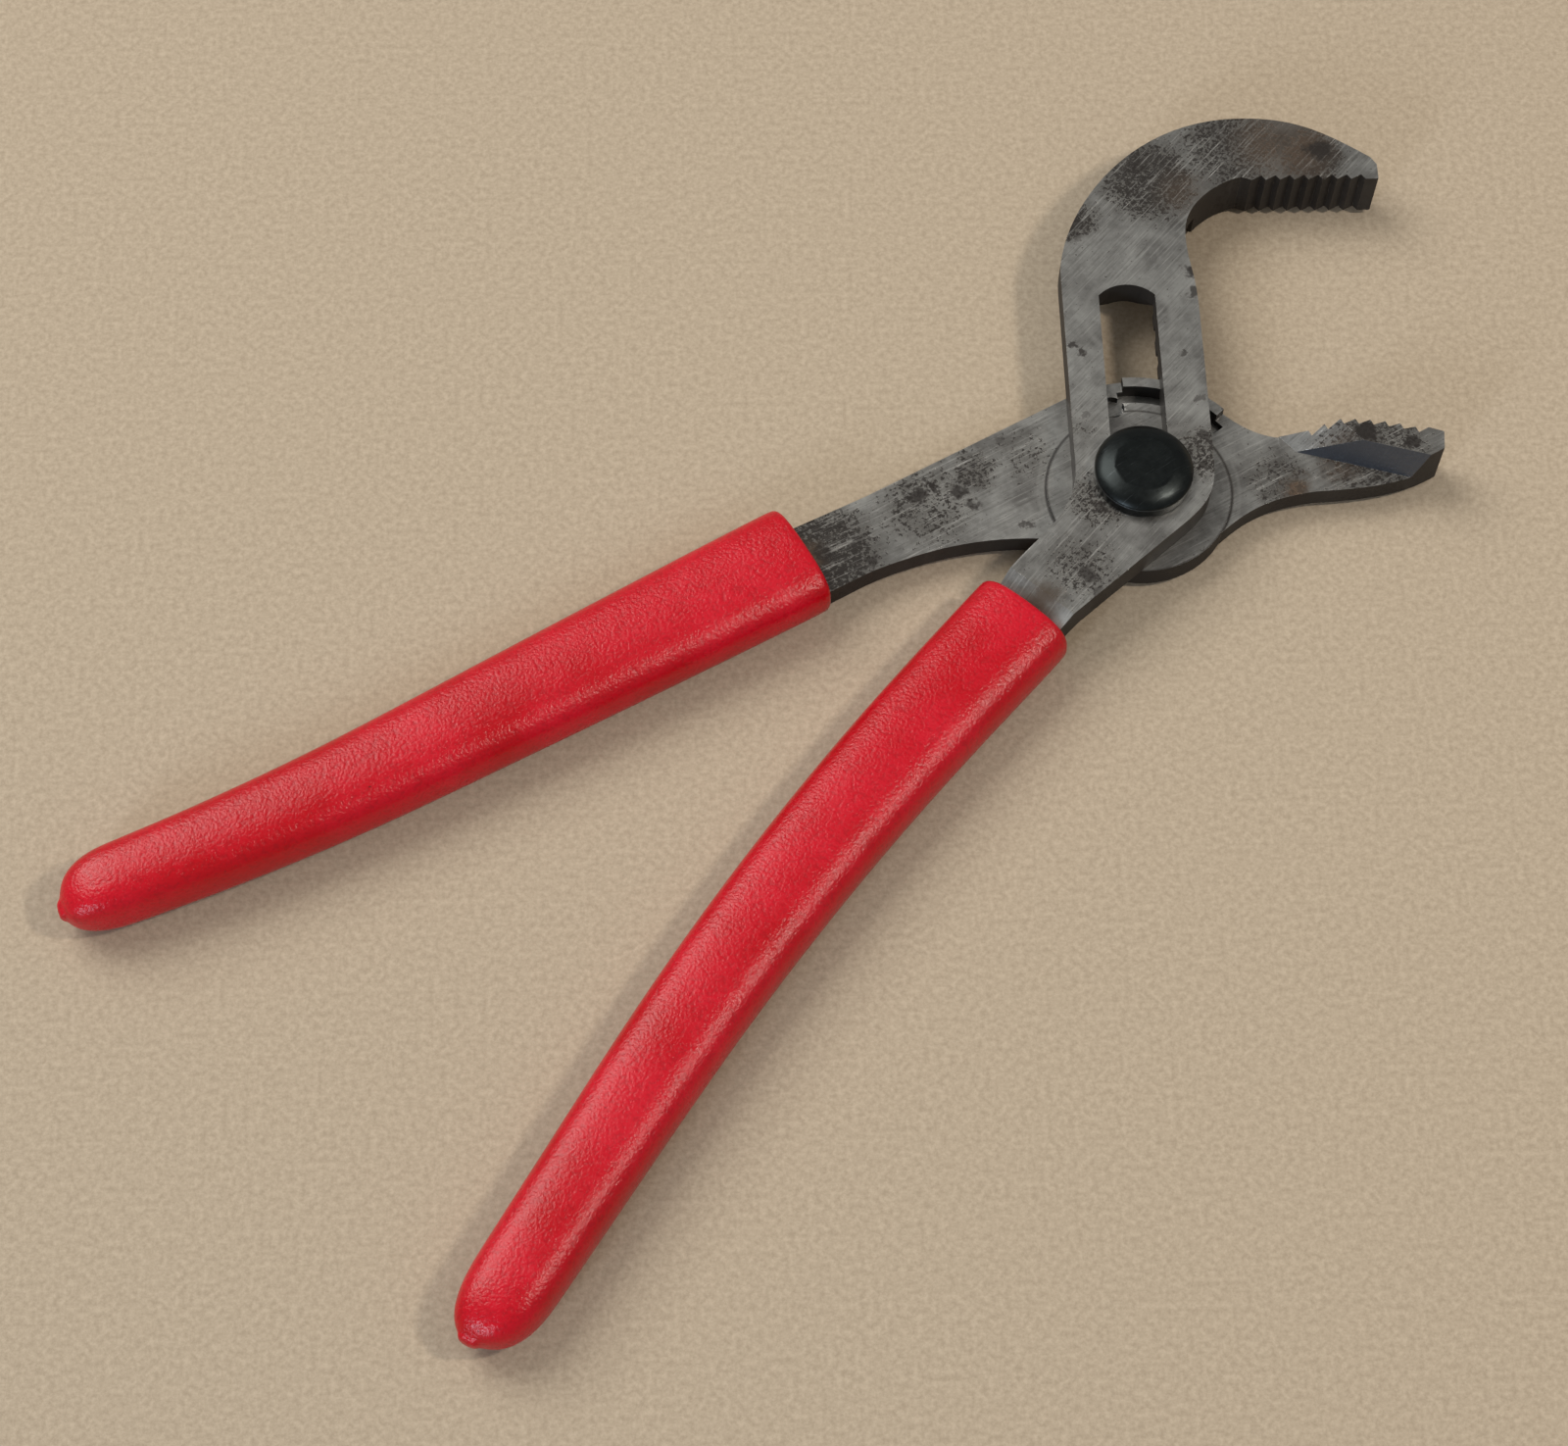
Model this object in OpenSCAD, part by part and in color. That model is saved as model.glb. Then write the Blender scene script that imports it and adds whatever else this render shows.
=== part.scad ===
// Slip-joint water-pump pliers with a tongue-and-groove adjustable pivot.
// Two forged levers are half-lapped at the joint. The front lever carries the
// hooked upper jaw and a long slot; the rear lever carries the lower jaw, a
// round bearing boss and an arc-shaped tongue. One pivot bolt runs in the slot.
// Units are millimetres. Z is up, the tool lies flat, and the pivot axis is
// the Z axis. The slot runs along Y with the bolt at its wide-open end.

/* [Levers] */
// thickness of the jaws, mm
jaw_t = 10; // [9:0.5:10.5]
// part of the jaw thickness taken by the front lever at the joint
lap_share = 0.545; // [0.5:0.005:0.58]
// diameter of the round bearing boss on the rear lever, mm
boss_d = 33; // [31:0.5:36]
// width of steel left beside each side of the slot, mm
rail_w = 6.6; // [6:0.2:9]

/* [Adjustment] */
// spacing of the adjusting grooves, mm
groove_pitch = 5.5; // [5:0.1:6]
// number of adjusting grooves
groove_count = 7; // [5:1:7]
// width of the tongue, mm
tongue_w = 2; // [1.6:0.1:2.4]
// height of the tongue above the web, mm
tongue_h = 1.9; // [1.5:0.1:2.4]

/* [Pivot] */
// width across the flats of the bolt neck, mm
neck_w = 10.2; // [8.4:0.1:12.3]
// diameter of the bolt head, mm
head_d = 17.6; // [17:0.2:20]
// height of the bolt head, mm
head_h = 3.9; // [3:0.1:5]
// diameter of the bolt shank in the rear lever, mm
shank_d = 8; // [6.6:0.1:9.6]
// width across the flats of the nut, mm
nut_af = 13; // [12:0.5:15.6]

/* [Teeth] */
// spacing of the jaw teeth, mm
tooth_pitch = 2.65; // [2.2:0.05:3.2]
// depth of the jaw teeth, mm
tooth_h = 1.0; // [0.6:0.1:1.4]

/* [Grips] */
// length of the front grip, mm
front_grip_l = 160.5; // [130:0.5:195]
// length of the rear grip, mm
rear_grip_l = 141.5; // [115:0.5:172]
// width of the front grip at its mouth, mm
front_grip_w = 19.6; // [18:0.2:22]
// width of the rear grip at its mouth, mm
rear_grip_w = 20.8; // [19:0.2:23]
// thickness of both grips, mm
grip_t = 12; // [11.6:0.1:14.4]
// thickness of the vinyl around the handle, mm
vinyl_t = 2.8; // [2.2:0.1:3.2]

/* [Part] */
// which piece to draw

/* [Hidden] */
$fn = 96;

STEEL = "#8A8986";
BLACK_OXIDE = "#23262B";
BRIGHT_NUT = "#55565A";
VINYL = "#C4161F";

// heights above the surface that the tool lies on
run_gap = 0.05;
z_grip = grip_t / 2;
z_bot = 1.5;
z_top = z_bot + jaw_t;
z_lap = z_top - lap_share * jaw_t;
z_boss = z_lap - run_gap;
boss_step = 0.4;
z_web = z_boss - boss_step;

// heights of the handle core in each grip, as [bottom, top]
front_core = [z_grip - 1.4, z_grip + 3.2];
rear_core = [z_grip - 3.4, z_grip + 0.8];
core_lip = 0.2;

// joint plan sizes
boss_r = boss_d / 2;
tongue_gap = 0.3;
head_r = boss_r + 6.3;
tongue_in = head_r - tongue_w;
travel = groove_pitch * (groove_count - 1);
slot_w = neck_w + 0.1;
neck_r = neck_w / 2 + 1.4;
end_play = 0.5;
swing_r = head_r + 1.7;
hook_step_r = head_r + 6.2;
shank_fit = 0.05;
head_rise = 0.05;
nut_recess = 1.7;

// front lever outline, built up from the slot outwards
rail_left = -(slot_w / 2 + rail_w);
rail_right = slot_w / 2 + rail_w + 1.2;
slot_top = travel + neck_r + end_play;
hook_y0 = slot_top + 2;
jaw_face_y = travel + 29.7;
tooth_x0 = 25;
upper_teeth = 8;
tip_x = 48.6;
crown = [24.1, jaw_face_y + 13.9];
throat = [11.7, jaw_face_y - 12.1];

// rear lever outline
neck_top = [25.9, 10.6];
lower_teeth = 7;
lower_x0 = 31;
crest = [37, 10.9];
crest_r = 44;
jaw_end = [54.6, 8];
belly_end = [54.3, 4.6];
under_r = 60;
under_c = [-21, -69.3];
facet_a = [28.9, 7.7];
facet_b = [49.3, 2];
facet_run = 1.8;

// handle spines: start point, start heading, distances where the bend starts and
// ends, angle of the bend (positive turns left)
front_spine = [[-21.7, -25.2], 228, 20, 110, 9.3];
rear_spine = [[-60.2, -12.9], 208.8, 78, 141.5, -8.3];
front_waist = front_grip_w / 2 - vinyl_t - 0.3;
rear_waist = rear_grip_w / 2 - vinyl_t - 0.5;
front_core_shift = 0.3;
rear_core_shift = 1.4;
core_back = 1;
core_gap = 0.05;
front_tip_len = 13;
rear_tip_len = 11;
tip_blunt = 2.5;
drip_lean = 1.6;
taper_front = 2.6;
taper_rear = 3.9;
lip_len = 1.4;
section_n = 2.8;

// ---------- curve helpers ----------

// point on a cubic curve with two end points and two guide points
function cubic(p, q, r, s, t) =
  pow(1 - t, 3) * p + 3 * pow(1 - t, 2) * t * q + 3 * (1 - t) * t * t * r + pow(t, 3) * s;

// run of points along a cubic curve, both ends included
function bend(p, q, r, s, n = 16) = [for (i = [0:n]) cubic(p, q, r, s, i / n)];

// unit vector at an angle
function dir(a) = [cos(a), sin(a)];

// point at distance u along a spine, moved sideways by off (left is positive):
// straight, then one even bend, then straight again
function along(spine, u, off) =
  let (h0 = spine[1], bend_len = spine[3] - spine[2],
    r = bend_len * 180 / (PI * spine[4]),
    h = h0 + spine[4] * min(max(u - spine[2], 0), bend_len) / bend_len)
  spine[0] + min(u, spine[2]) * dir(h0) + r * [sin(h) - sin(h0), cos(h0) - cos(h)]
    + max(u - spine[3], 0) * dir(h) + off * dir(h + 90);

// half width of a grip at distance u from its mouth
function half_w(w, taper, len, u) = w / 2 - taper * pow(max(u, 0) / len, 1.35);

// ring sector between two radii and two angles less than half a turn apart
module sector(r_in, r_out, a0, a1) {
  far = 2 * r_out;
  intersection() {
    difference() {
      circle(r_out);
      circle(r_in);
    }
    polygon([[0, 0], far * dir(a0), far * dir((a0 + a1) / 2), far * dir(a1)]);
  }
}

// slot or neck shape: a circle trimmed by two flats, stretched along Y
module flatted(r, w, len) {
  intersection() {
    union() {
      circle(r);
      translate([0, len])
        circle(r);
      translate([-r, 0])
        square([2 * r, len]);
    }
    translate([-w / 2, -r - 1])
      square([w, len + 2 * r + 2]);
  }
}

// ---------- handles and grips ----------

// flat outline of the handle core that fills a grip
module core_outline(spine, w, taper, len, tip_len, waist, shift, grow) {
  n = 24;
  reach = len - tip_len;
  thin = w / 2 - waist;
  right = [for (i = [0:n]) let (u = -core_back + (reach + core_back) * i / n)
    along(spine, u, shift - (half_w(w, taper, len, u) - thin + grow))];
  left = [for (i = [n:-1:0]) let (u = -core_back + (reach + core_back) * i / n)
    along(spine, u, shift + half_w(w, taper, len, u) - thin + grow)];
  polygon(concat(right, left));
}

module front_handle_core(grow = 0) {
  translate([0, 0, front_core[0] - grow])
    linear_extrude(front_core[1] - front_core[0] + 2 * grow)
      core_outline(front_spine, front_grip_w, taper_front, front_grip_l, front_tip_len,
        front_waist, front_core_shift, grow);
}

module rear_handle_core(grow = 0) {
  translate([0, 0, rear_core[0] - grow])
    linear_extrude(rear_core[1] - rear_core[0] + 2 * grow)
      core_outline(rear_spine, rear_grip_w, taper_rear, rear_grip_l, rear_tip_len,
        rear_waist, rear_core_shift, grow);
}

// size of each grip section, as [distance, scale]: rounded lip, body, tip, drip
function grip_stations(len, tip_len) = concat(
  [for (i = [0:3]) [lip_len * (1 - cos(30 * i)), 0.88 + 0.12 * sin(30 * i)]],
  [for (i = [1:14]) [lip_len + (len - tip_len - lip_len) * i / 14, 1]],
  [for (i = [1:7]) let (t = sin(10.6 * i))
    [len - tip_len * (1 - t), pow(1 - pow(t, tip_blunt), 1 / tip_blunt)]],
  [[len - 0.1, 0.29], [len + 0.5, 0.24], [len + 0.8, 0.12]]);

// dip-moulded sleeve: oval sections swept along the handle, closed at the tip; the
// drip on the tip leans sideways
module sleeve(spine, w, taper, len, tip_len, lean) {
  m = 24;
  st = grip_stations(len, tip_len);
  rows = len(st);
  half = [for (k = [0:m - 1]) let (c = cos(360 * k / m), s = sin(360 * k / m))
    [sign(c) * pow(abs(c), 2 / section_n), sign(s) * pow(abs(s), 2 / section_n)]];
  pts = [for (q = st) for (h = half)
    let (side_shift = q[0] > len / 2 ? lean * (1 - q[1]) : 0,
      xy = along(spine, q[0], h[0] * q[1] * half_w(w, taper, len, q[0]) + side_shift))
    [xy[0], xy[1], z_grip + h[1] * q[1] * grip_t / 2]];
  side = [for (j = [0:rows - 2]) for (k = [0:m - 1])
    let (a = j * m + k, b = j * m + (k + 1) % m)
    for (f = [[a, a + m, b + m], [a, b + m, b]]) f];
  mouth = [[for (k = [0:m - 1]) k]];
  tip = [[for (k = [m - 1:-1:0]) (rows - 1) * m + k]];
  polyhedron(pts, concat(side, mouth, tip), convexity = 6);
}

module front_grip() {
  color(VINYL)
    difference() {
      sleeve(front_spine, front_grip_w, taper_front, front_grip_l, front_tip_len, -drip_lean);
      front_handle_core(core_gap);
    }
}

module rear_grip() {
  color(VINYL)
    difference() {
      sleeve(rear_spine, rear_grip_w, taper_rear, rear_grip_l, rear_tip_len, drip_lean);
      rear_handle_core(core_gap);
    }
}

// prism across a lever near a grip mouth; its section has distance from the mouth
// along the handle and height as its two coordinates
module across(spine, section) {
  translate([spine[0][0], spine[0][1], 0])
    rotate([90, 0, spine[1]])
      translate([0, 0, -30])
        linear_extrude(60)
          polygon(section);
}

// ---------- jaws ----------

// saw teeth of the upper jaw: steep side towards the throat
function upper_row() = [for (i = [0:upper_teeth]) for (q = [
    [tooth_x0 + i * tooth_pitch, jaw_face_y],
    [tooth_x0 + (i + 0.72) * tooth_pitch, jaw_face_y + tooth_h]])
  if (q[0] < tip_x - 2) q];

// saw teeth of the lower jaw: tips on an arc, steep side towards the end
function crest_y(x) = crest[1] - crest_r + sqrt(crest_r * crest_r - pow(x - crest[0], 2));
function lower_row() = [for (i = [0:lower_teeth]) for (q = [
    [lower_x0 + i * tooth_pitch, crest_y(lower_x0 + i * tooth_pitch)],
    [lower_x0 + (i + 0.2) * tooth_pitch, crest_y(lower_x0 + (i + 0.2) * tooth_pitch) - tooth_h]])
  if (q[0] < jaw_end[0] - 3) q];

// ---------- front lever ----------

module front_outline() {
  mouth_left = along(front_spine, 0, front_core_shift - front_waist);
  mouth_right = along(front_spine, 0, front_core_shift + front_waist);
  left_top = [rail_left, hook_y0];
  right_low = [7.4, -9.4];
  outer_end = [tip_x - 1, jaw_face_y + 4.8];
  outer = concat(
    bend(left_top, left_top + [0, 11.8], crown - [22.7, 0], crown, 24),
    bend(crown, crown + [9.6, 0], outer_end - 11 * dir(-36), outer_end, 16));
  tip = [[tip_x, jaw_face_y + 3.2], [tip_x, jaw_face_y + 0.1], [tip_x - 0.3, jaw_face_y]];
  row = upper_row();
  teeth = [for (i = [len(row) - 1:-1:0]) row[i]];
  throat_top = [tooth_x0 - 1.9, jaw_face_y + 0.7];
  inner = concat(
    bend(throat_top, throat_top - 1.8 * dir(5), throat + [0, 8.7], throat, 14),
    bend(throat, throat - [0, 7], [rail_right, throat[1] - 6.8], [rail_right, throat[1] - 17], 10));
  right = bend([rail_right, 4], [rail_right, -3], right_low + 6 * dir(43), right_low, 12);
  left = bend(mouth_left, mouth_left + 9.7 * dir(55), [rail_left, -8.4], [rail_left, 2], 14);
  polygon(concat(outer, tip, teeth, inner, right, [mouth_right], left));
}

// plan area where the front lever is only half as thick as the jaw
module front_lap() {
  circle(swing_r);
  translate([0, travel])
    circle(hook_step_r);
  translate([-hook_step_r, 0])
    square([2 * hook_step_r, travel]);
  translate([-50, -60])
    square([80, 56]);
}

// arc grooves under the front lever, one for each setting of the pivot
module setting_grooves() {
  for (i = [0:groove_count - 1])
    translate([0, i * groove_pitch, z_lap - 1])
      linear_extrude(1 + tongue_h - boss_step + tongue_gap)
        sector(tongue_in - tongue_gap, head_r + tongue_gap, 25, 112);
}

// underside of the neck, which drops to the handle core at the grip mouth
module front_root() {
  intersection() {
    translate([0, 0, z_bot])
      linear_extrude(jaw_t)
        front_outline();
    across(front_spine, [[-5, z_lap], [-0.5, front_core[0] - core_lip], [3, front_core[0] - core_lip],
      [3, z_lap + 1], [-5, z_lap + 1]]);
  }
}

// slope that thins the neck to handle thickness at the grip mouth
module front_mouth_slope() {
  run = 3.2;
  z_end = front_core[1] + core_lip;
  k = (z_end - z_top) / run;
  across(front_spine, [[-run - 1, z_top - k], [0.5, z_end + 0.5 * k], [0.5, z_top + 1],
    [-run - 1, z_top + 1]]);
}

module front_lever() {
  color(STEEL)
    difference() {
      union() {
        difference() {
          translate([0, 0, z_bot])
            linear_extrude(jaw_t)
              front_outline();
          translate([0, 0, z_bot - 1])
            linear_extrude(z_lap - z_bot + 1)
              front_lap();
        }
        front_root();
        front_handle_core();
      }
      translate([0, 0, z_bot - 1])
        linear_extrude(jaw_t + 2)
          flatted(neck_r + end_play, slot_w, travel);
      setting_grooves();
      front_mouth_slope();
    }
}

// ---------- rear lever ----------

// lower jaw with its teeth, in plan
module rear_jaw_outline() {
  jaw_root = [26, neck_top[1] + 0.3];
  belly_start = [31, -0.6];
  row = lower_row();
  last = row[len(row) - 1];
  nose = [[last[0] + 1.8, last[1] + 1], [jaw_end[0] - 0.8, jaw_end[1] + 0.3], jaw_end];
  belly = bend(belly_end, belly_end - 8.1 * dir(32), belly_start + 7.9 * dir(3), belly_start, 16);
  polygon(concat([jaw_root], row, nose, belly, [[26, -1.6]]));
}

// round head, neck and handle of the rear lever, in plan
module rear_web_outline() {
  a_start = 44;
  a_end = 120;
  mouth_top = along(rear_spine, 0, rear_core_shift - rear_waist);
  mouth_low = along(rear_spine, 0, rear_core_shift + rear_waist);
  under = [for (i = [0:16]) under_c + under_r * dir(118 - 35 * i / 16)];
  neck_low = bend([14, -8.8], [14, -8.8] + 7.3 * dir(42),
    [32.1, -0.5] - 8.9 * dir(8), [32.1, -0.5], 14);
  neck_up = bend(neck_top + [2, 0], neck_top - [1.4, 0], head_r * dir(a_start) + 6.3 * dir(-43),
    head_r * dir(a_start), 12);
  polygon(concat([head_r * dir(a_end), mouth_top, mouth_low], under, neck_low, [[32.1, 8]], neck_up));
  sector(1, head_r, a_start - 1, a_end + 1);
}

// full-height lower jaw with the ground facet that drops to the web
module rear_jaw_faced() {
  facet_angle = atan2(facet_b[1] - facet_a[1], facet_b[0] - facet_a[0]);
  rise = z_top - z_web;
  difference() {
    translate([0, 0, z_bot])
      linear_extrude(jaw_t)
        rear_jaw_outline();
    translate([facet_a[0], facet_a[1], 0])
      rotate([90, 0, facet_angle + 90])
        translate([0, 0, -25])
          linear_extrude(50)
            polygon([[0, z_web], [facet_run * (rise + 1) / rise, z_top + 1],
              [-20, z_top + 1], [-20, z_web]]);
  }
}

// lower jaw with a sloping shoulder where it rises from the neck
module rear_jaw() {
  rise = z_top - z_web;
  shoulder_angle = 41;
  shoulder_run = 7.5;
  difference() {
    rear_jaw_faced();
    translate([facet_a[0], facet_a[1], 0])
      rotate([90, 0, shoulder_angle])
        translate([0, 0, -25])
          linear_extrude(50)
            polygon([[-20, z_web], [0, z_web],
              [shoulder_run * (rise + 1) / rise, z_top + 1], [-20, z_top + 1]]);
  }
}

// wedge that raises the top of the rear handle from web height to its core
module rear_ramp() {
  start_u = -16;
  z_end = rear_core[1] + core_lip;
  k = (z_end - z_web) / -start_u;
  intersection() {
    translate([0, 0, z_bot])
      linear_extrude(jaw_t)
        rear_web_outline();
    across(rear_spine, [[start_u - 4, z_web - 4 * k], [2, z_end + 2 * k], [2, z_bot + 2],
      [start_u - 4, z_bot + 2]]);
  }
}

module rear_lever() {
  color(STEEL)
    difference() {
      union() {
        translate([0, 0, z_bot])
          linear_extrude(z_web - z_bot)
            rear_web_outline();
        translate([0, 0, z_bot])
          cylinder(h = z_boss - z_bot, r = boss_r);
        rear_jaw();
        rear_ramp();
        rear_handle_core();
        translate([0, 0, z_web - 1])
          linear_extrude(tongue_h + 1)
            sector(tongue_in, head_r - 0.1, 44, 94);
      }
      // relief groove beside the tongue, ending in a round pocket
      translate([0, 0, z_web - 1.5])
        linear_extrude(4)
          sector(boss_r + 2, tongue_in, 39, 97);
      translate([-3.6, boss_r + 0.9, z_web - 1.5])
        cylinder(h = 4, r = 2.3);
      translate([0, 0, z_bot - 1])
        cylinder(h = jaw_t, d = shank_d + 2 * shank_fit);
      translate([0, 0, z_bot - 1])
        cylinder(h = nut_recess + 1, d = nut_af / cos(30) + 0.8);
      // underside rises to the handle core at the grip mouth
      across(rear_spine, [[-20, z_bot - 1], [-20, z_bot - 0.15], [0.5, rear_core[0] - core_lip],
        [0.5, z_bot - 1]]);
    }
}

// ---------- pivot ----------

module pivot_bolt() {
  head_z = z_top + head_rise;
  flat_r = 0.3 * head_d;
  rim_h = 0.5 * head_h;
  rim_r = head_d / 2;
  flank = [for (i = [0:8]) let (t = sin(90 * i / 8), fall = 0.55 * t + 0.45 * pow(t, 4))
    [flat_r + (rim_r - flat_r) * t, head_z + head_h - (head_h - rim_h) * fall]];
  color(BLACK_OXIDE) {
    rotate_extrude()
      polygon(concat([[0, head_z], [0, head_z + head_h]], flank,
        [[rim_r, head_z + 0.3], [rim_r - 0.3, head_z]]));
    translate([0, 0, z_boss + run_gap])
      linear_extrude(head_z - z_boss)
        flatted(neck_r, neck_w, 0.001);
    translate([0, 0, 0.5])
      cylinder(h = z_lap - 0.5, d = shank_d);
    cylinder(h = 0.5, d1 = shank_d - 1, d2 = shank_d);
  }
}

module pivot_nut() {
  nut_h = z_bot + nut_recess - run_gap;
  corner_d = nut_af / cos(30);
  color(BRIGHT_NUT)
    difference() {
      intersection() {
        cylinder(h = nut_h, d = corner_d, $fn = 6);
        cylinder(h = nut_h, d1 = corner_d - 1.2, d2 = corner_d + 2 * nut_h);
      }
      translate([0, 0, -1])
        cylinder(h = nut_h + 2, d = shank_d + 2 * shank_fit);
    }
}

front_lever();
rear_lever();
pivot_bolt();
pivot_nut();
front_grip();
rear_grip();
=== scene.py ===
# %% [markdown]
# Slip-joint pliers with dipped grips.
# The real tool is two forged steel levers that cross at one bolt, and each
# handle is dipped in hot vinyl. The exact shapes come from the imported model,
# so this lesson adds what a drawing can't hold: softened edges, the skin of
# the steel, the glossy grips and the light.

# %% Load the fixed frame
import math

import bmesh
import bpy
from mathutils import Matrix, Vector


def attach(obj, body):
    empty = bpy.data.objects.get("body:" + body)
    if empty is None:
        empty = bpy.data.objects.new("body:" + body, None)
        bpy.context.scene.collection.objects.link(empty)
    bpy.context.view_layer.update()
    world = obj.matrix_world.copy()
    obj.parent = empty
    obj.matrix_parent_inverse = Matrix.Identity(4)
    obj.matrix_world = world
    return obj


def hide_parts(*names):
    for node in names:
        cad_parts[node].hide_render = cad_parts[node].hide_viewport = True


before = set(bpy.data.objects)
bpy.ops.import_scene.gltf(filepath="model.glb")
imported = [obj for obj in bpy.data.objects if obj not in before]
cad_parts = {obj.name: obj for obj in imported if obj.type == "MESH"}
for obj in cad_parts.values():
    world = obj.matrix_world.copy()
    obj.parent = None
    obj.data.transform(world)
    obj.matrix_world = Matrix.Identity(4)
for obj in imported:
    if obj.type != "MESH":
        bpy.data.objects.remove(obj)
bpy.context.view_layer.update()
MM = 0.001
print("pieces:", sorted(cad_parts))

# %% [markdown]
# The camera looks down at the tool from the handle side. It could be aimed
# with a constraint, but a place, an aim point and a small roll say the same
# and leave nothing live in the file.

# %% Camera
EYE = Vector((-87.4, -325.8, 560.9)) * MM
AIM = Vector((-64.7, -45.5, 6.5)) * MM
ROLL = math.radians(3.18)
camera = bpy.data.objects.new("camera", bpy.data.cameras.new("camera"))
bpy.context.scene.collection.objects.link(camera)
camera.data.lens = 83.2
camera.data.sensor_width = 36
turn = (AIM - EYE).to_track_quat("-Z", "Y").to_matrix().to_4x4()
camera.matrix_world = Matrix.Translation(EYE) @ turn @ Matrix.Rotation(ROLL, 4, "Z")
bpy.context.scene.camera = camera
print("camera to aim point:", round((AIM - EYE).length / MM), "mm")

# %% [markdown]
# Steel shows what is round it, so the light matters as much as the metal.
# A wide soft light from the upper left makes the gentle shadows, and a
# narrower one from the right draws the line of light along the grips.

# %% Colour and node helpers


def linear(code):
    """sRGB hex to linear RGBA."""
    parts = [int(code[i : i + 2], 16) / 255 for i in (1, 3, 5)]
    return (*[c / 12.92 if c <= 0.04045 else ((c + 0.055) / 1.055) ** 2.4 for c in parts], 1)


def add(tree, kind, inputs=(), **settings):
    """One node: settings by name, inputs by place or by name, each a value, a node or a socket."""
    node = tree.nodes.new(kind)
    for name, value in settings.items():
        setattr(node, name, value)
    sockets = [s for s in node.inputs if s.enabled]
    for key, value in inputs.items() if isinstance(inputs, dict) else enumerate(inputs):
        socket = sockets[key] if isinstance(key, int) else next(s for s in sockets if s.name == key)
        if isinstance(value, bpy.types.Node):
            value = next(s for s in value.outputs if s.enabled)
        if isinstance(value, bpy.types.NodeSocket):
            tree.links.new(value, socket)
        else:
            socket.default_value = value
    return node


def new_material(name):
    """An empty material and its node tree."""
    material = bpy.data.materials.new(name)
    material.use_nodes = True
    material.node_tree.nodes.clear()
    return material, material.node_tree


# %% [markdown]
# The tool lies on a plain pale board. A flat colour would look like a screen,
# so a very faint fibre pattern breaks it up. It could be a real paper shader,
# but the board is only there to catch the shadows, so it stays simple.

# %% Floor
BOARD_HALF = 3.0  # metres, far past the edge of the view
floor_mesh = bmesh.new()
bmesh.ops.create_grid(floor_mesh, x_segments=1, y_segments=1, size=BOARD_HALF)
floor = bpy.data.objects.new("floor", bpy.data.meshes.new("floor"))
floor_mesh.to_mesh(floor.data)
floor_mesh.free()
bpy.context.scene.collection.objects.link(floor)
material, tree = new_material("pale_matt_board")
coords = add(tree, "ShaderNodeTexCoord")
fibre = add(tree, "ShaderNodeTexNoise", {"Vector": coords.outputs["Object"], "Scale": 900, "Detail": 5,
    "Roughness": 0.75})
fibre = add(tree, "ShaderNodeMapRange", [fibre, 0.36, 0.64, 0.0, 1.0])
tint = add(tree, "ShaderNodeMix", {"Factor": fibre, "A": linear("#9F8F7A"), "B": linear("#B6A690")},
    data_type="RGBA")
shader = add(tree, "ShaderNodeBsdfPrincipled", {"Base Color": tint, "Roughness": 0.9})
add(tree, "ShaderNodeOutputMaterial", {"Surface": shader})
floor.data.materials.append(material)
print("board:", 2 * BOARD_HALF, "m square")

# %% [markdown]
# Light. The tones are shown as they are, without a film curve, so that a grey
# in the material stays that grey. Lamps are rectangles because their long
# reflections are what tells polished steel and vinyl from paint.

# %% Lights
bpy.context.scene.view_settings.view_transform = "Standard"
LIGHTS = {
    "window_left": ((-0.75, 0.55, 1.0), (0.9, 0.9), 14.0, "#FFFDF8"),
    "lamp_right": ((0.5, -0.15, 0.8), (0.07, 0.12), 3.4, "#FFF6EA"),
    "low_front": ((-0.7, -0.95, 0.45), (0.2, 0.3), 5.0, "#E2EEFF"),
}
for name, (place, size, watts, tint) in LIGHTS.items():
    lamp = bpy.data.lights.new(name, "AREA")
    lamp.shape = "RECTANGLE"
    lamp.size, lamp.size_y = size
    lamp.energy = watts
    lamp.color = linear(tint)[:3]
    holder = bpy.data.objects.new(name, lamp)
    bpy.context.scene.collection.objects.link(holder)
    aim = (Vector((0, 0, 0)) - Vector(place)).to_track_quat("-Z", "Y")
    holder.location, holder.rotation_euler = place, aim.to_euler()
world = bpy.data.worlds.new("soft_room")
bpy.context.scene.world = world
world.use_nodes = True
world.node_tree.nodes["Background"].inputs["Color"].default_value = linear("#DADAD8")
world.node_tree.nodes["Background"].inputs["Strength"].default_value = 0.42
print("lights:", len(LIGHTS))

# %% [markdown]
# A forged lever has no razor edges: tumbling and years of use round them.
# A Bevel modifier could do it, but a bevel made in bmesh gives back the
# faces that it makes, so they can be marked and shown bright with wear.
# The CAD mesh is loose triangles, so a copy is merged and its flat faces
# joined first.

# %% Softened copies of the steel pieces
EDGE_ANGLE = math.radians(28)  # sharper than this is an edge to round
FLAT_ANGLE = math.radians(0.4)  # flatter than this is one face
SHADE_ANGLE = math.radians(35)  # sharper than this stays a crisp line
WELD = 2e-6  # metres, joins the corners of the loose triangles


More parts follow.
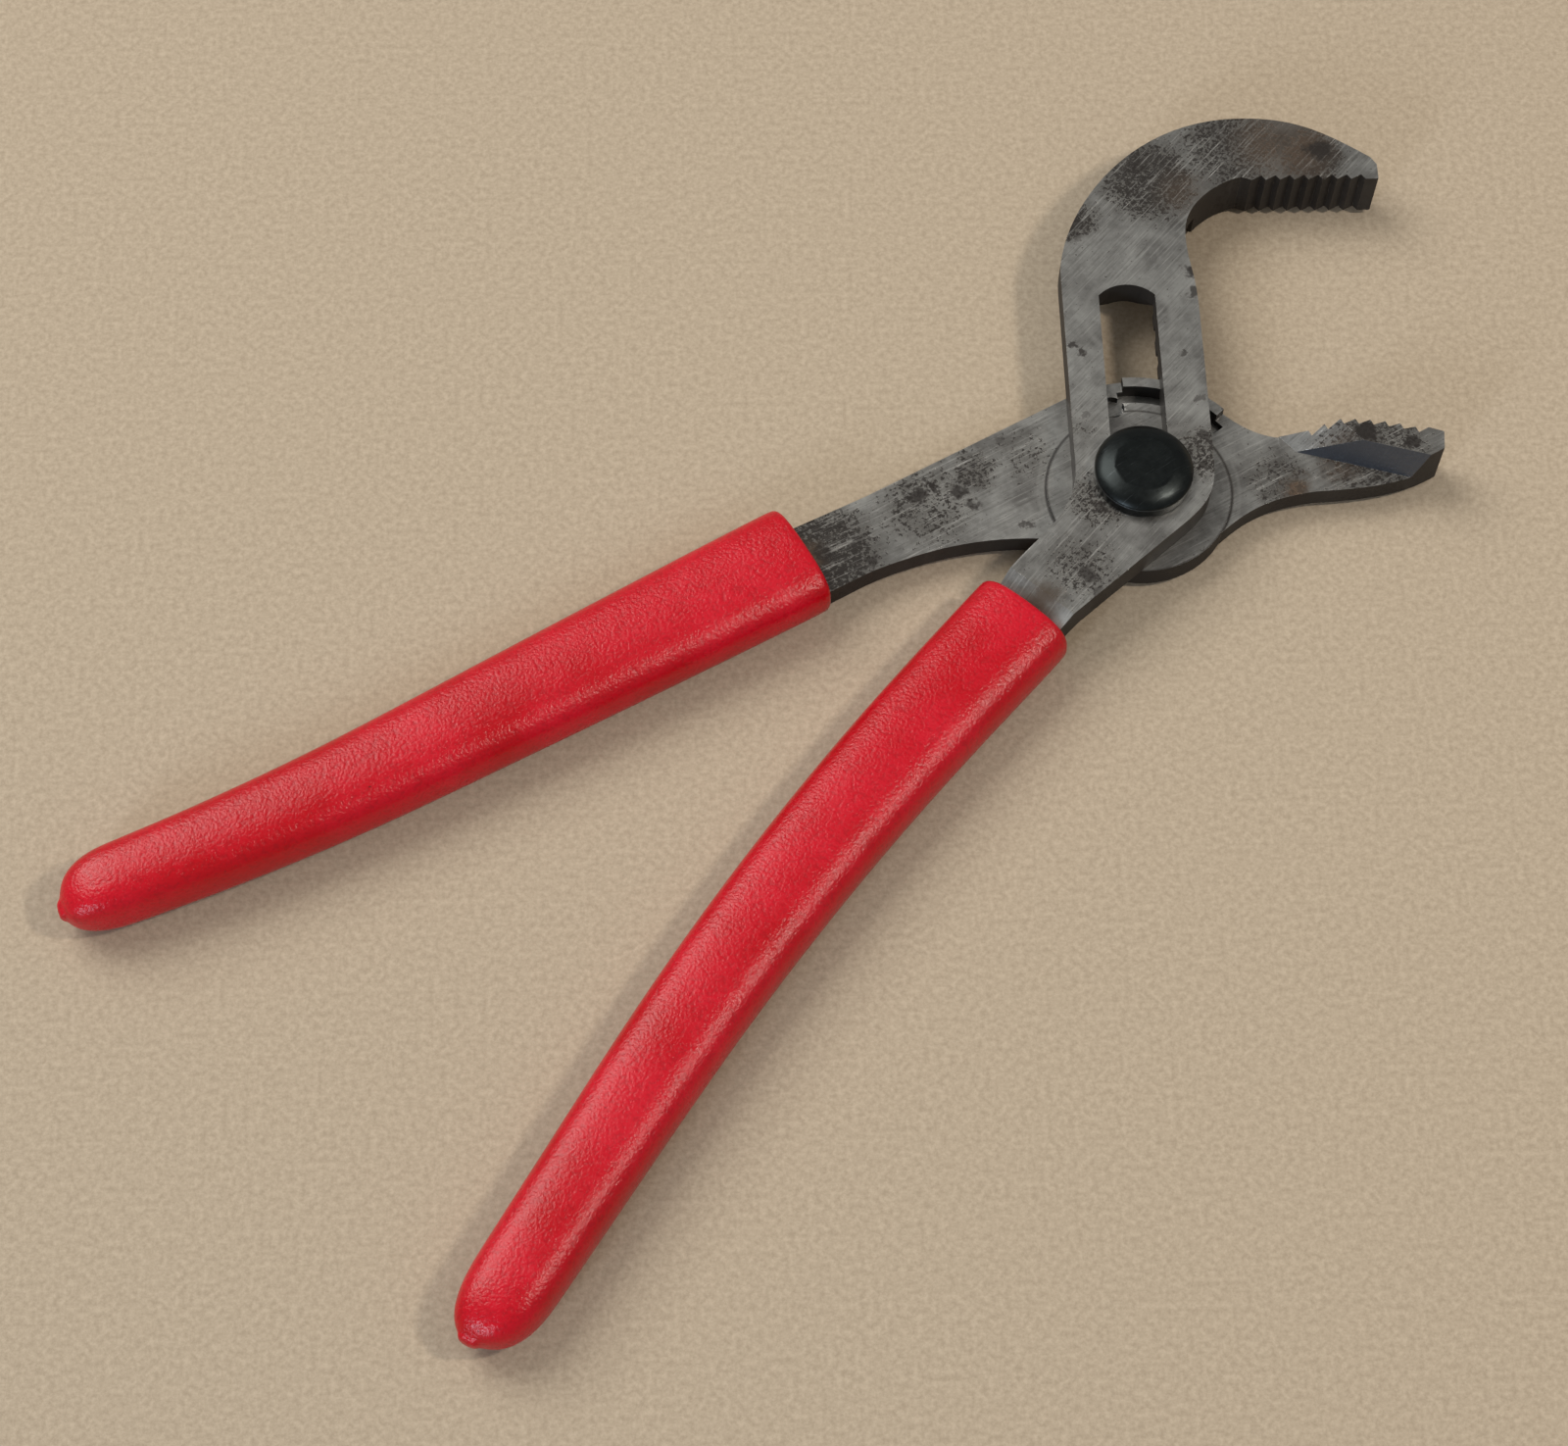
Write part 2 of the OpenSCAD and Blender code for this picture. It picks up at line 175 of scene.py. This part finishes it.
def softened(node, body, width, name, segments=2):
    """A merged copy of a CAD node with rounded, marked edges. It stands for the node."""
    shape = bmesh.new()
    shape.from_mesh(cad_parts[node].data)
    edge_layer = shape.faces.layers.float.new("rounded_edge")
    bmesh.ops.remove_doubles(shape, verts=shape.verts, dist=WELD)
    bmesh.ops.dissolve_limit(shape, angle_limit=FLAT_ANGLE, verts=shape.verts, edges=shape.edges)
    sharp = [e for e in shape.edges if len(e.link_faces) == 2 and e.calc_face_angle() > EDGE_ANGLE]
    made = bmesh.ops.bevel(
        shape, geom=sharp, affect="EDGES", offset=width, offset_type="OFFSET",
        segments=segments, profile=0.5, material=-1, clamp_overlap=True,
    )
    for face in made["faces"]:
        face[edge_layer] = 1.0
    bmesh.ops.triangulate(shape, faces=[f for f in shape.faces if len(f.verts) > 4])
    for face in shape.faces:
        face.smooth = True
    mesh = bpy.data.meshes.new(name)
    shape.to_mesh(mesh)
    shape.free()
    mesh.set_sharp_from_angle(angle=SHADE_ANGLE)
    piece = bpy.data.objects.new(name, mesh)
    bpy.context.scene.collection.objects.link(piece)
    flatter = piece.modifiers.new("flat faces stay flat", "WEIGHTED_NORMAL")
    flatter.keep_sharp = True
    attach(piece, body)
    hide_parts(node)
    print(name, "edges rounded:", len(sharp), "faces:", len(mesh.polygons))
    return piece


front_steel = softened("front_lever", "front", 0.3 * MM, "front_lever_steel")
rear_steel = softened("rear_lever", "rear", 0.3 * MM, "rear_lever_steel")
bolt = softened("pivot_bolt", "pivot", 0.15 * MM, "pivot_bolt_blackened")
nut = softened("pivot_nut", "pivot", 0.2 * MM, "pivot_nut_turned")

# %% [markdown]
# Steel skin. Forged steel comes out of the die with a dark scale, is tumbled,
# then ground where it must be flat, and rusts in fine pits over the years.
# A painted picture could carry all this, but one made of distances and noise
# stays sharp at any size. Lengths below are millimetres, because the object
# coordinates are turned into millimetres first.
#
# A mark is a place, a radius and a strength. Its edge is moved about by noise
# so that it never reads as a circle. Scale spots are near black, stains are
# brown, and pitting makes the fine specks closer together.

# %% Marks on the two levers
FRONT_SPOTS = [
    (38, 69, 3.4, 0.9), (-11, -19.5, 2.6, 0.8), (-9, -24, 2.2, 0.7), (-9, 54, 2.6, 0.7),
    (-8, 50, 1.5, 0.6), (12.6, 43, 2.4, 0.95), (12.2, 38, 1.7, 0.85),
    (-10.5, 27.5, 1.1, 0.9), (-9.3, 26, 1.2, 0.9),
    (9, 25.2, 1.0, 0.8), (11.6, 16, 1.2, 0.7), (11.4, 8, 1.6, 0.8), (11, 2, 1.4, 0.8),
    (-8, -6, 1.7, 0.7), (-9, 12.5, 1.3, 0.6), (4, 66, 2.2, 0.6), (16, 73, 2.4, 0.5),
]
FRONT_PITTING = [
    (6, 63, 13, 0.9), (22, 70, 14, 0.75), (37, 68, 9, 0.9), (-9, 54, 7, 0.9), (7, 12, 5, 0.55),
    (11, 4, 8, 0.75), (-8, -5, 8, 0.7), (-9, 12, 6, 0.55), (-12, -19, 9, 0.6),
]
FRONT_STAINS = [(32, 71, 13, 0.55), (-19.5, -24.5, 5, 0.7), (12, 60, 7, 0.3)]
REAR_SPOTS = [
    (-39.5, 0, 2.2, 0.9), (-36.5, 1.2, 1.6, 0.85), (-32, 0, 2.0, 0.9), (-29.6, -2.5, 1.6, 0.8),
    (-20.5, -6.5, 1.3, 0.8), (-48, -14, 1.7, 0.8), (-50, -9, 1.6, 0.6), (40.5, 8.3, 3.0, 0.95),
    (48.5, 6, 2.0, 0.9), (-57, -12, 2.4, 0.7), (-24, 11, 1.2, 0.5), (33, 3, 1.4, 0.6),
]
REAR_PITTING = [
    (-57, -12, 15, 0.95), (-29, 5, 6, 0.75), (42, 6, 14, 0.7), (-38, -2, 12, 0.6),
    (25, 2, 8, 0.6), (-20, 8, 8, 0.4), (10, -16, 10, 0.5),
]
REAR_STAINS = [(28.5, 0, 4, 0.8), (-60, -13, 5, 0.75), (36, 5, 6, 0.3)]
print("marks:", len(FRONT_SPOTS + REAR_SPOTS), "spots,", len(FRONT_PITTING + REAR_PITTING), "pitted areas")

# %% Steel skin
STEEL_LIGHT = "#A7A6A2"
STEEL_DARK = "#757370"
SHADE = "#5A5650"
PIT = "#2B2724"
BRIGHT_SCRATCH = "#C9C7C2"
DARK_SCRATCH = "#55524E"
RUBBED = "#D2D0CB"
STAIN = "#5B4A3B"
# near black for the scale spots, and for the painted shadow line round the boss
SCALE_AND_EDGE_SHADOW = "#241F1C"
# painted shade for the side walls, which lie in shadow, over their forging scale
SCALE_AND_WALL_SHADE = "#2E2A27"
# painted dark bluish reflection for the ground slopes
SLOPE_DARK_REFLECTION = "#4A4F58"
WORN_EDGE = "#DAD8D3"


def worn_steel(name, spots, pitting, stains, ground, grain_deg, rings, groove_and_edge_shadow=None):
    """Bare forged steel, all sizes in mm. ground is x, y and radius of the machined area that stays
    clean; a ring is x, y, radius, width, strength; the last argument is the radius of one dark line,
    painted shadow round the edge of a raised boss."""
    material, tree = new_material(name)
    coords = add(tree, "ShaderNodeTexCoord")
    place = add(tree, "ShaderNodeVectorMath", {"Vector": coords.outputs["Object"], "Scale": 1 / MM},
        operation="SCALE")
    plan = add(tree, "ShaderNodeVectorMath", [place, (1, 1, 0)], operation="MULTIPLY")
    shake = add(tree, "ShaderNodeTexNoise", {"Vector": place, "Scale": 0.45, "Detail": 4, "Roughness": 0.65})
    wander = 5.0  # how far a mark's edge strays, mm
    loose = add(tree, "ShaderNodeVectorMath",
        [shake.outputs["Color"], (wander, wander, 0), plan], operation="MULTIPLY_ADD")
    centred = add(tree, "ShaderNodeVectorMath", [loose, (wander / 2, wander / 2, 0)], operation="SUBTRACT")

    def field(marks, core):
        """Largest strength of any mark here; core is the share of the radius at full strength."""
        total = 0.0
        for x, y, radius, strength in marks:
            away = add(tree, "ShaderNodeVectorMath", [centred, (x, y, 0)], operation="DISTANCE")
            fade = add(tree, "ShaderNodeMapRange", [away, core * radius, radius, strength, 0.0],
                interpolation_type="SMOOTHSTEP")
            total = add(tree, "ShaderNodeMath", [fade, total], operation="MAXIMUM")
        return total

    # broad cloudy tone, in patches some 8 mm across
    cloud = add(tree, "ShaderNodeTexNoise", {"Vector": place, "Scale": 0.13, "Detail": 6, "Roughness": 0.65})
    tone = add(tree, "ShaderNodeMapRange", [cloud, 0.35, 0.65, 0.0, 1.0])
    colour = add(tree, "ShaderNodeMix", {"Factor": tone, "A": linear(STEEL_LIGHT),
        "B": linear(STEEL_DARK)}, data_type="RGBA")

    # the machined area keeps few pits
    gx, gy, gr = ground
    clean = add(tree, "ShaderNodeVectorMath", [centred, (gx, gy, 0)], operation="DISTANCE")
    rough_part = add(tree, "ShaderNodeMapRange", [clean, gr - 1.5, gr + 1.5, 0.12, 1.0])
    dense = add(tree, "ShaderNodeMath", [field(pitting, 0.35), rough_part], operation="MULTIPLY")
    dense = add(tree, "ShaderNodeMath", [dense, 0.16], operation="ADD")

    # away from the machined area and in the pitted areas the whole skin is darker
    shade = add(tree, "ShaderNodeMapRange", [dense, 0.2, 1.0, 0.0, 0.62])
    colour = add(tree, "ShaderNodeMix", {"Factor": shade, "A": colour, "B": linear(SHADE)},
        data_type="RGBA")

    # pits: specks 0.4 to 0.7 mm across; real ones go down to 0.1 mm, drawn coarser to show
    grains = add(tree, "ShaderNodeTexNoise", {"Vector": place, "Scale": 1.3, "Detail": 3, "Roughness": 0.75})
    limit = add(tree, "ShaderNodeMath", [dense, -0.26, 0.69], operation="MULTIPLY_ADD")
    top = add(tree, "ShaderNodeMath", [limit, 0.05], operation="ADD")
    pits = add(tree, "ShaderNodeMapRange", [grains, limit, top, 0.0, 1.0])
    colour = add(tree, "ShaderNodeMix", {"Factor": pits, "A": colour, "B": linear(PIT)}, data_type="RGBA")

    # scratches along the lever, each a few mm long and 0.2 mm wide
    along = add(tree, "ShaderNodeMapping", {"Vector": place, "Rotation": (0, 0, math.radians(grain_deg)),
        "Scale": (11, 0.4, 11)}, vector_type="TEXTURE")
    lines = add(tree, "ShaderNodeTexNoise", {"Vector": along, "Scale": 1.0, "Detail": 5, "Roughness": 0.75})
    scratch = add(tree, "ShaderNodeMapRange", [lines, 0.54, 0.68, 0.0, 0.55])
    rub = add(tree, "ShaderNodeMapRange", [lines, 0.46, 0.34, 0.0, 0.5])
    colour = add(tree, "ShaderNodeMix", {"Factor": scratch, "A": colour, "B": linear(BRIGHT_SCRATCH)},
        data_type="RGBA")
    colour = add(tree, "ShaderNodeMix", {"Factor": rub, "A": colour, "B": linear(DARK_SCRATCH)},
        data_type="RGBA")

    # rubbed rings, drawn round a centre at one radius each
    for cx, cy, reach, wide, bright in rings:
        off = add(tree, "ShaderNodeVectorMath", [plan, (cx, cy, 0)], operation="DISTANCE")
        off = add(tree, "ShaderNodeMath", [off, reach], operation="SUBTRACT")
        off = add(tree, "ShaderNodeMath", [off], operation="ABSOLUTE")
        line = add(tree, "ShaderNodeMapRange", [off, 0.1, wide, bright, 0.0])
        patchy = add(tree, "ShaderNodeMath", [line, tone], operation="MULTIPLY")
        colour = add(tree, "ShaderNodeMix", {"Factor": patchy, "A": colour, "B": linear(RUBBED)},
            data_type="RGBA")

    # brown stains and near-black scale; on the rear lever also a painted shadow line round the raised boss
    brown = field(stains, 0.2)
    colour = add(tree, "ShaderNodeMix", {"Factor": brown, "A": colour, "B": linear(STAIN)},
        data_type="RGBA")
    scale_and_edge_shadow = field(spots, 0.45)
    # a dark line at one radius: painted shadow where the raised boss steps down
    if groove_and_edge_shadow:
        off = add(tree, "ShaderNodeVectorMath", [plan, (0, 0, 0)], operation="DISTANCE")
        off = add(tree, "ShaderNodeMath", [off, groove_and_edge_shadow], operation="SUBTRACT")
        off = add(tree, "ShaderNodeMath", [off], operation="ABSOLUTE")
        line = add(tree, "ShaderNodeMapRange", [off, 0.15, 0.5, 0.8, 0.0])
        scale_and_edge_shadow = add(tree, "ShaderNodeMath", [scale_and_edge_shadow, line], operation="MAXIMUM")
    colour = add(tree, "ShaderNodeMix", {"Factor": scale_and_edge_shadow, "A": colour, "B": linear(SCALE_AND_EDGE_SHADOW)},
        data_type="RGBA")

    # side walls are darkened by their facing: painted shade for the shadow they lie in, over their forging
    # scale; worn edges are the brightest steel
    tilt = add(tree, "ShaderNodeSeparateXYZ", [coords.outputs["Normal"]])
    level = add(tree, "ShaderNodeMath", [tilt.outputs["Z"]], operation="ABSOLUTE")
    wall = add(tree, "ShaderNodeMapRange", [level, 0.3, 0.75, 0.95, 0.0])
    edge = add(tree, "ShaderNodeAttribute", attribute_name="rounded_edge")
    uneven = add(tree, "ShaderNodeMapRange", [cloud, 0.4, 0.6, 0.45, 1.0])
    worn = add(tree, "ShaderNodeMath", [edge.outputs["Fac"], uneven], operation="MULTIPLY")
    keep = add(tree, "ShaderNodeMath", [1.0, worn], operation="SUBTRACT")
    wall = add(tree, "ShaderNodeMath", [wall, keep], operation="MULTIPLY")
    # steep slopes take a painted dark bluish reflection instead of the wall shade
    slant = add(tree, "ShaderNodeMapRange", [level, 0.12, 0.2, 0.0, 1.0])
    skin = add(tree, "ShaderNodeMix", {"Factor": slant, "A": linear(SCALE_AND_WALL_SHADE), "B": linear(SLOPE_DARK_REFLECTION)},
        data_type="RGBA")
    colour = add(tree, "ShaderNodeMix", {"Factor": wall, "A": colour, "B": skin}, data_type="RGBA")
    colour = add(tree, "ShaderNodeMix", {"Factor": worn, "A": colour, "B": linear(WORN_EDGE)},
        data_type="RGBA")

    dull = add(tree, "ShaderNodeMath", [pits, scale_and_edge_shadow], operation="MAXIMUM")
    dull = add(tree, "ShaderNodeMath", [dull, wall], operation="MAXIMUM")
    rough = add(tree, "ShaderNodeMapRange", [dull, 0.0, 1.0, 0.4, 0.62])
    # ground slopes are smoother than forged walls
    smooth = add(tree, "ShaderNodeMath", [slant, wall], operation="MULTIPLY")
    rough = add(tree, "ShaderNodeMath", [smooth, -0.3, rough], operation="MULTIPLY_ADD")
    metal = add(tree, "ShaderNodeMapRange", [dull, 0.0, 1.0, 1.0, 0.55])
    # a rubbed edge is polished, so it catches the window as a thin bright line
    rough = add(tree, "ShaderNodeMath", [worn, -0.16, rough], operation="MULTIPLY_ADD")
    high = add(tree, "ShaderNodeMath", [pits, -0.8, lines], operation="MULTIPLY_ADD")
    high = add(tree, "ShaderNodeMath", [scale_and_edge_shadow, 0.3, high], operation="MULTIPLY_ADD")
    bump = add(tree, "ShaderNodeBump", {"Strength": 0.45, "Distance": 0.05 * MM, "Height": high})
    shader = add(tree, "ShaderNodeBsdfPrincipled",
        {"Base Color": colour, "Metallic": metal, "Roughness": rough, "Normal": bump})
    add(tree, "ShaderNodeOutputMaterial", {"Surface": shader})
    return material


# the front lever's grain runs along its neck, the rear lever's along its handle
front_steel.data.materials.append(worn_steel("forged_steel_front", FRONT_SPOTS, FRONT_PITTING,
    FRONT_STAINS, (1, 30, 22), 48, [(0, 33, 8, 0.9, 0.22), (1, 30, 21.5, 1.2, 0.2)]))
# the rear lever's dark line at 16.6 mm is painted shadow round its raised boss
rear_steel.data.materials.append(worn_steel("forged_steel_rear", REAR_SPOTS, REAR_PITTING,
    REAR_STAINS, (0, 0, 16), 28.8, [(0, 0, 18, 0.5, 0.12)], groove_and_edge_shadow=16.6))
for piece in (front_steel, rear_steel):
    print(piece.name, "nodes:", len(piece.data.materials[0].node_tree.nodes))

# %% [markdown]
# The bolt and the nut. A hot oxide bath leaves steel blue-black with a soft
# shine. Paint would hide the metal, so the shader stays metallic and only
# its colour is dark. Turning leaves rings on the nut, and those come from
# the distance to the pivot axis.

# %% Bolt and nut
material, tree = new_material("black_oxide_steel")
coords = add(tree, "ShaderNodeTexCoord")
place = add(tree, "ShaderNodeVectorMath", {"Vector": coords.outputs["Object"], "Scale": 1 / MM},
    operation="SCALE")
haze = add(tree, "ShaderNodeTexNoise", {"Vector": place, "Scale": 0.5, "Detail": 5, "Roughness": 0.7})
colour = add(tree, "ShaderNodeMix", {"Factor": haze, "A": linear("#1C1F1F"), "B": linear("#2B2F2F")},
    data_type="RGBA")
# hair scratches 0.15 mm wide from spanners and pockets, lighter than the oxide
hair = add(tree, "ShaderNodeMapping", {"Vector": place, "Rotation": (0, 0, 0.6), "Scale": (5, 0.25, 5)},
    vector_type="TEXTURE")
hairs = add(tree, "ShaderNodeTexNoise", {"Vector": hair, "Scale": 1.0, "Detail": 4, "Roughness": 0.8})
seen = add(tree, "ShaderNodeMapRange", [hairs, 0.6, 0.7, 0.0, 0.45])
colour = add(tree, "ShaderNodeMix", {"Factor": seen, "A": colour, "B": linear("#5C6163")},
    data_type="RGBA")
edge = add(tree, "ShaderNodeAttribute", attribute_name="rounded_edge")
worn = add(tree, "ShaderNodeMath", [edge.outputs["Fac"], 0.35], operation="MULTIPLY")
colour = add(tree, "ShaderNodeMix", {"Factor": worn, "A": colour, "B": linear("#7C8286")},
    data_type="RGBA")
rough = add(tree, "ShaderNodeMapRange", [haze, 0.3, 0.7, 0.26, 0.4])
bump = add(tree, "ShaderNodeBump", {"Strength": 0.25, "Distance": 0.02 * MM, "Height": hairs})
shader = add(tree, "ShaderNodeBsdfPrincipled",
    {"Base Color": colour, "Metallic": 0.9, "Roughness": rough, "Normal": bump})
add(tree, "ShaderNodeOutputMaterial", {"Surface": shader})
bolt.data.materials.append(material)

material, tree = new_material("turned_nut_steel")
coords = add(tree, "ShaderNodeTexCoord")
place = add(tree, "ShaderNodeVectorMath", {"Vector": coords.outputs["Object"], "Scale": 1 / MM},
    operation="SCALE")
plan = add(tree, "ShaderNodeVectorMath", [place, (1, 1, 0)], operation="MULTIPLY")
radius = add(tree, "ShaderNodeVectorMath", [plan], operation="LENGTH")
groove_and_edge_shadow = add(tree, "ShaderNodeMath", [radius, 9.0], operation="MULTIPLY")  # a ring each 0.7 mm
groove_and_edge_shadow = add(tree, "ShaderNodeMath", [groove_and_edge_shadow], operation="SINE")
haze = add(tree, "ShaderNodeTexNoise", {"Vector": place, "Scale": 0.8, "Detail": 5})
colour = add(tree, "ShaderNodeMix", {"Factor": haze, "A": linear("#55565A"), "B": linear("#85868A")},
    data_type="RGBA")
bump = add(tree, "ShaderNodeBump", {"Strength": 0.3, "Distance": 0.02 * MM, "Height": groove_and_edge_shadow})
shader = add(tree, "ShaderNodeBsdfPrincipled",
    {"Base Color": colour, "Metallic": 1.0, "Roughness": 0.38, "Normal": bump})
add(tree, "ShaderNodeOutputMaterial", {"Surface": shader})
nut.data.materials.append(material)
print("bolt and nut finished")

# %% [markdown]
# The grips. Each handle is heated and dipped, so the vinyl runs down, rounds
# every edge and ends in a small drip. The CAD sleeve has flat facets, so a
# copy is turned back into four-sided faces and smoothed by subdivision.
# Creases hold the mouth and the inner pocket, which would shrink otherwise.

# %% Grip shapes
CREASE_ANGLE = math.radians(50)  # sharper than this is held while smoothing
grips = []
for node, body in (("front_grip", "front"), ("rear_grip", "rear")):
    shape = bmesh.new()
    shape.from_mesh(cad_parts[node].data)
    crease = shape.edges.layers.float.new("crease_edge")
    bmesh.ops.remove_doubles(shape, verts=shape.verts, dist=WELD)
    bmesh.ops.join_triangles(shape, faces=shape.faces, angle_face_threshold=math.radians(30),
        angle_shape_threshold=math.radians(60))
    for edge in shape.edges:
        if len(edge.link_faces) == 2 and edge.calc_face_angle() > CREASE_ANGLE:
            edge[crease] = 1.0
    for face in shape.faces:
        face.smooth = True
    mesh = bpy.data.meshes.new(node + "_vinyl")
    shape.to_mesh(mesh)
    shape.free()
    piece = bpy.data.objects.new(node + "_vinyl", mesh)
    bpy.context.scene.collection.objects.link(piece)
    smooth = piece.modifiers.new("smooth", "SUBSURF")
    smooth.levels = smooth.render_levels = 2
    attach(piece, body)
    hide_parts(node)
    grips.append(piece)
    print(piece.name, "faces:", len(mesh.polygons))

# %% [markdown]
# Vinyl skin. The dip cures with an orange-peel of tiny pebbles under a gloss,
# and the highlight breaks into sparks on them. The red could be flat, but
# real vinyl scuffs paler where the hand rubs; the colour is also darker in the
# hollows between the pebbles.

# %% Vinyl skin
material, tree = new_material("dipped_red_vinyl")
coords = add(tree, "ShaderNodeTexCoord")
place = add(tree, "ShaderNodeVectorMath", {"Vector": coords.outputs["Object"], "Scale": 1 / MM},
    operation="SCALE")
handling = add(tree, "ShaderNodeTexNoise", {"Vector": place, "Scale": 0.06, "Detail": 5, "Roughness": 0.6})
wear = add(tree, "ShaderNodeMapRange", [handling, 0.38, 0.62, 0.0, 1.0])
colour = add(tree, "ShaderNodeMix", {"Factor": wear, "A": linear("#B00010"), "B": linear("#C20620")},
    data_type="RGBA")
# pebbles about 0.6 mm apart; the finest real ones are half that, drawn coarser to show
pebble = add(tree, "ShaderNodeTexVoronoi", {"Vector": place, "Scale": 1.7}, feature="SMOOTH_F1")
grain = add(tree, "ShaderNodeTexNoise", {"Vector": place, "Scale": 2.4, "Detail": 3, "Roughness": 0.6})
skin = add(tree, "ShaderNodeMath", [pebble.outputs["Distance"], -0.8, grain], operation="MULTIPLY_ADD")
# the colour is darker in the hollows between the pebbles
hollow = add(tree, "ShaderNodeMapRange", [skin, 0.15, -0.05, 0.0, 0.3])
colour = add(tree, "ShaderNodeMix", {"Factor": hollow, "A": colour, "B": linear("#7E0710")},
    data_type="RGBA")
# small dark specks of dirt, 0.5 mm, one or two in a square centimetre
dirt = add(tree, "ShaderNodeTexNoise", {"Vector": place, "Scale": 0.9, "Detail": 2})
speck = add(tree, "ShaderNodeMapRange", [dirt, 0.76, 0.79, 0.0, 0.7])
colour = add(tree, "ShaderNodeMix", {"Factor": speck, "A": colour, "B": linear("#3A1512")},
    data_type="RGBA")
rough = add(tree, "ShaderNodeMapRange", [wear, 0.0, 1.0, 0.2, 0.28])
bump = add(tree, "ShaderNodeBump", {"Strength": 0.6, "Distance": 0.16 * MM, "Height": skin})
shader = add(tree, "ShaderNodeBsdfPrincipled", {"Base Color": colour, "Roughness": rough,
    "Specular IOR Level": 0.36, "Normal": bump})
add(tree, "ShaderNodeOutputMaterial", {"Surface": shader})
for piece in grips:
    piece.data.materials.append(material)
print("grips finished:", [p.name for p in grips])
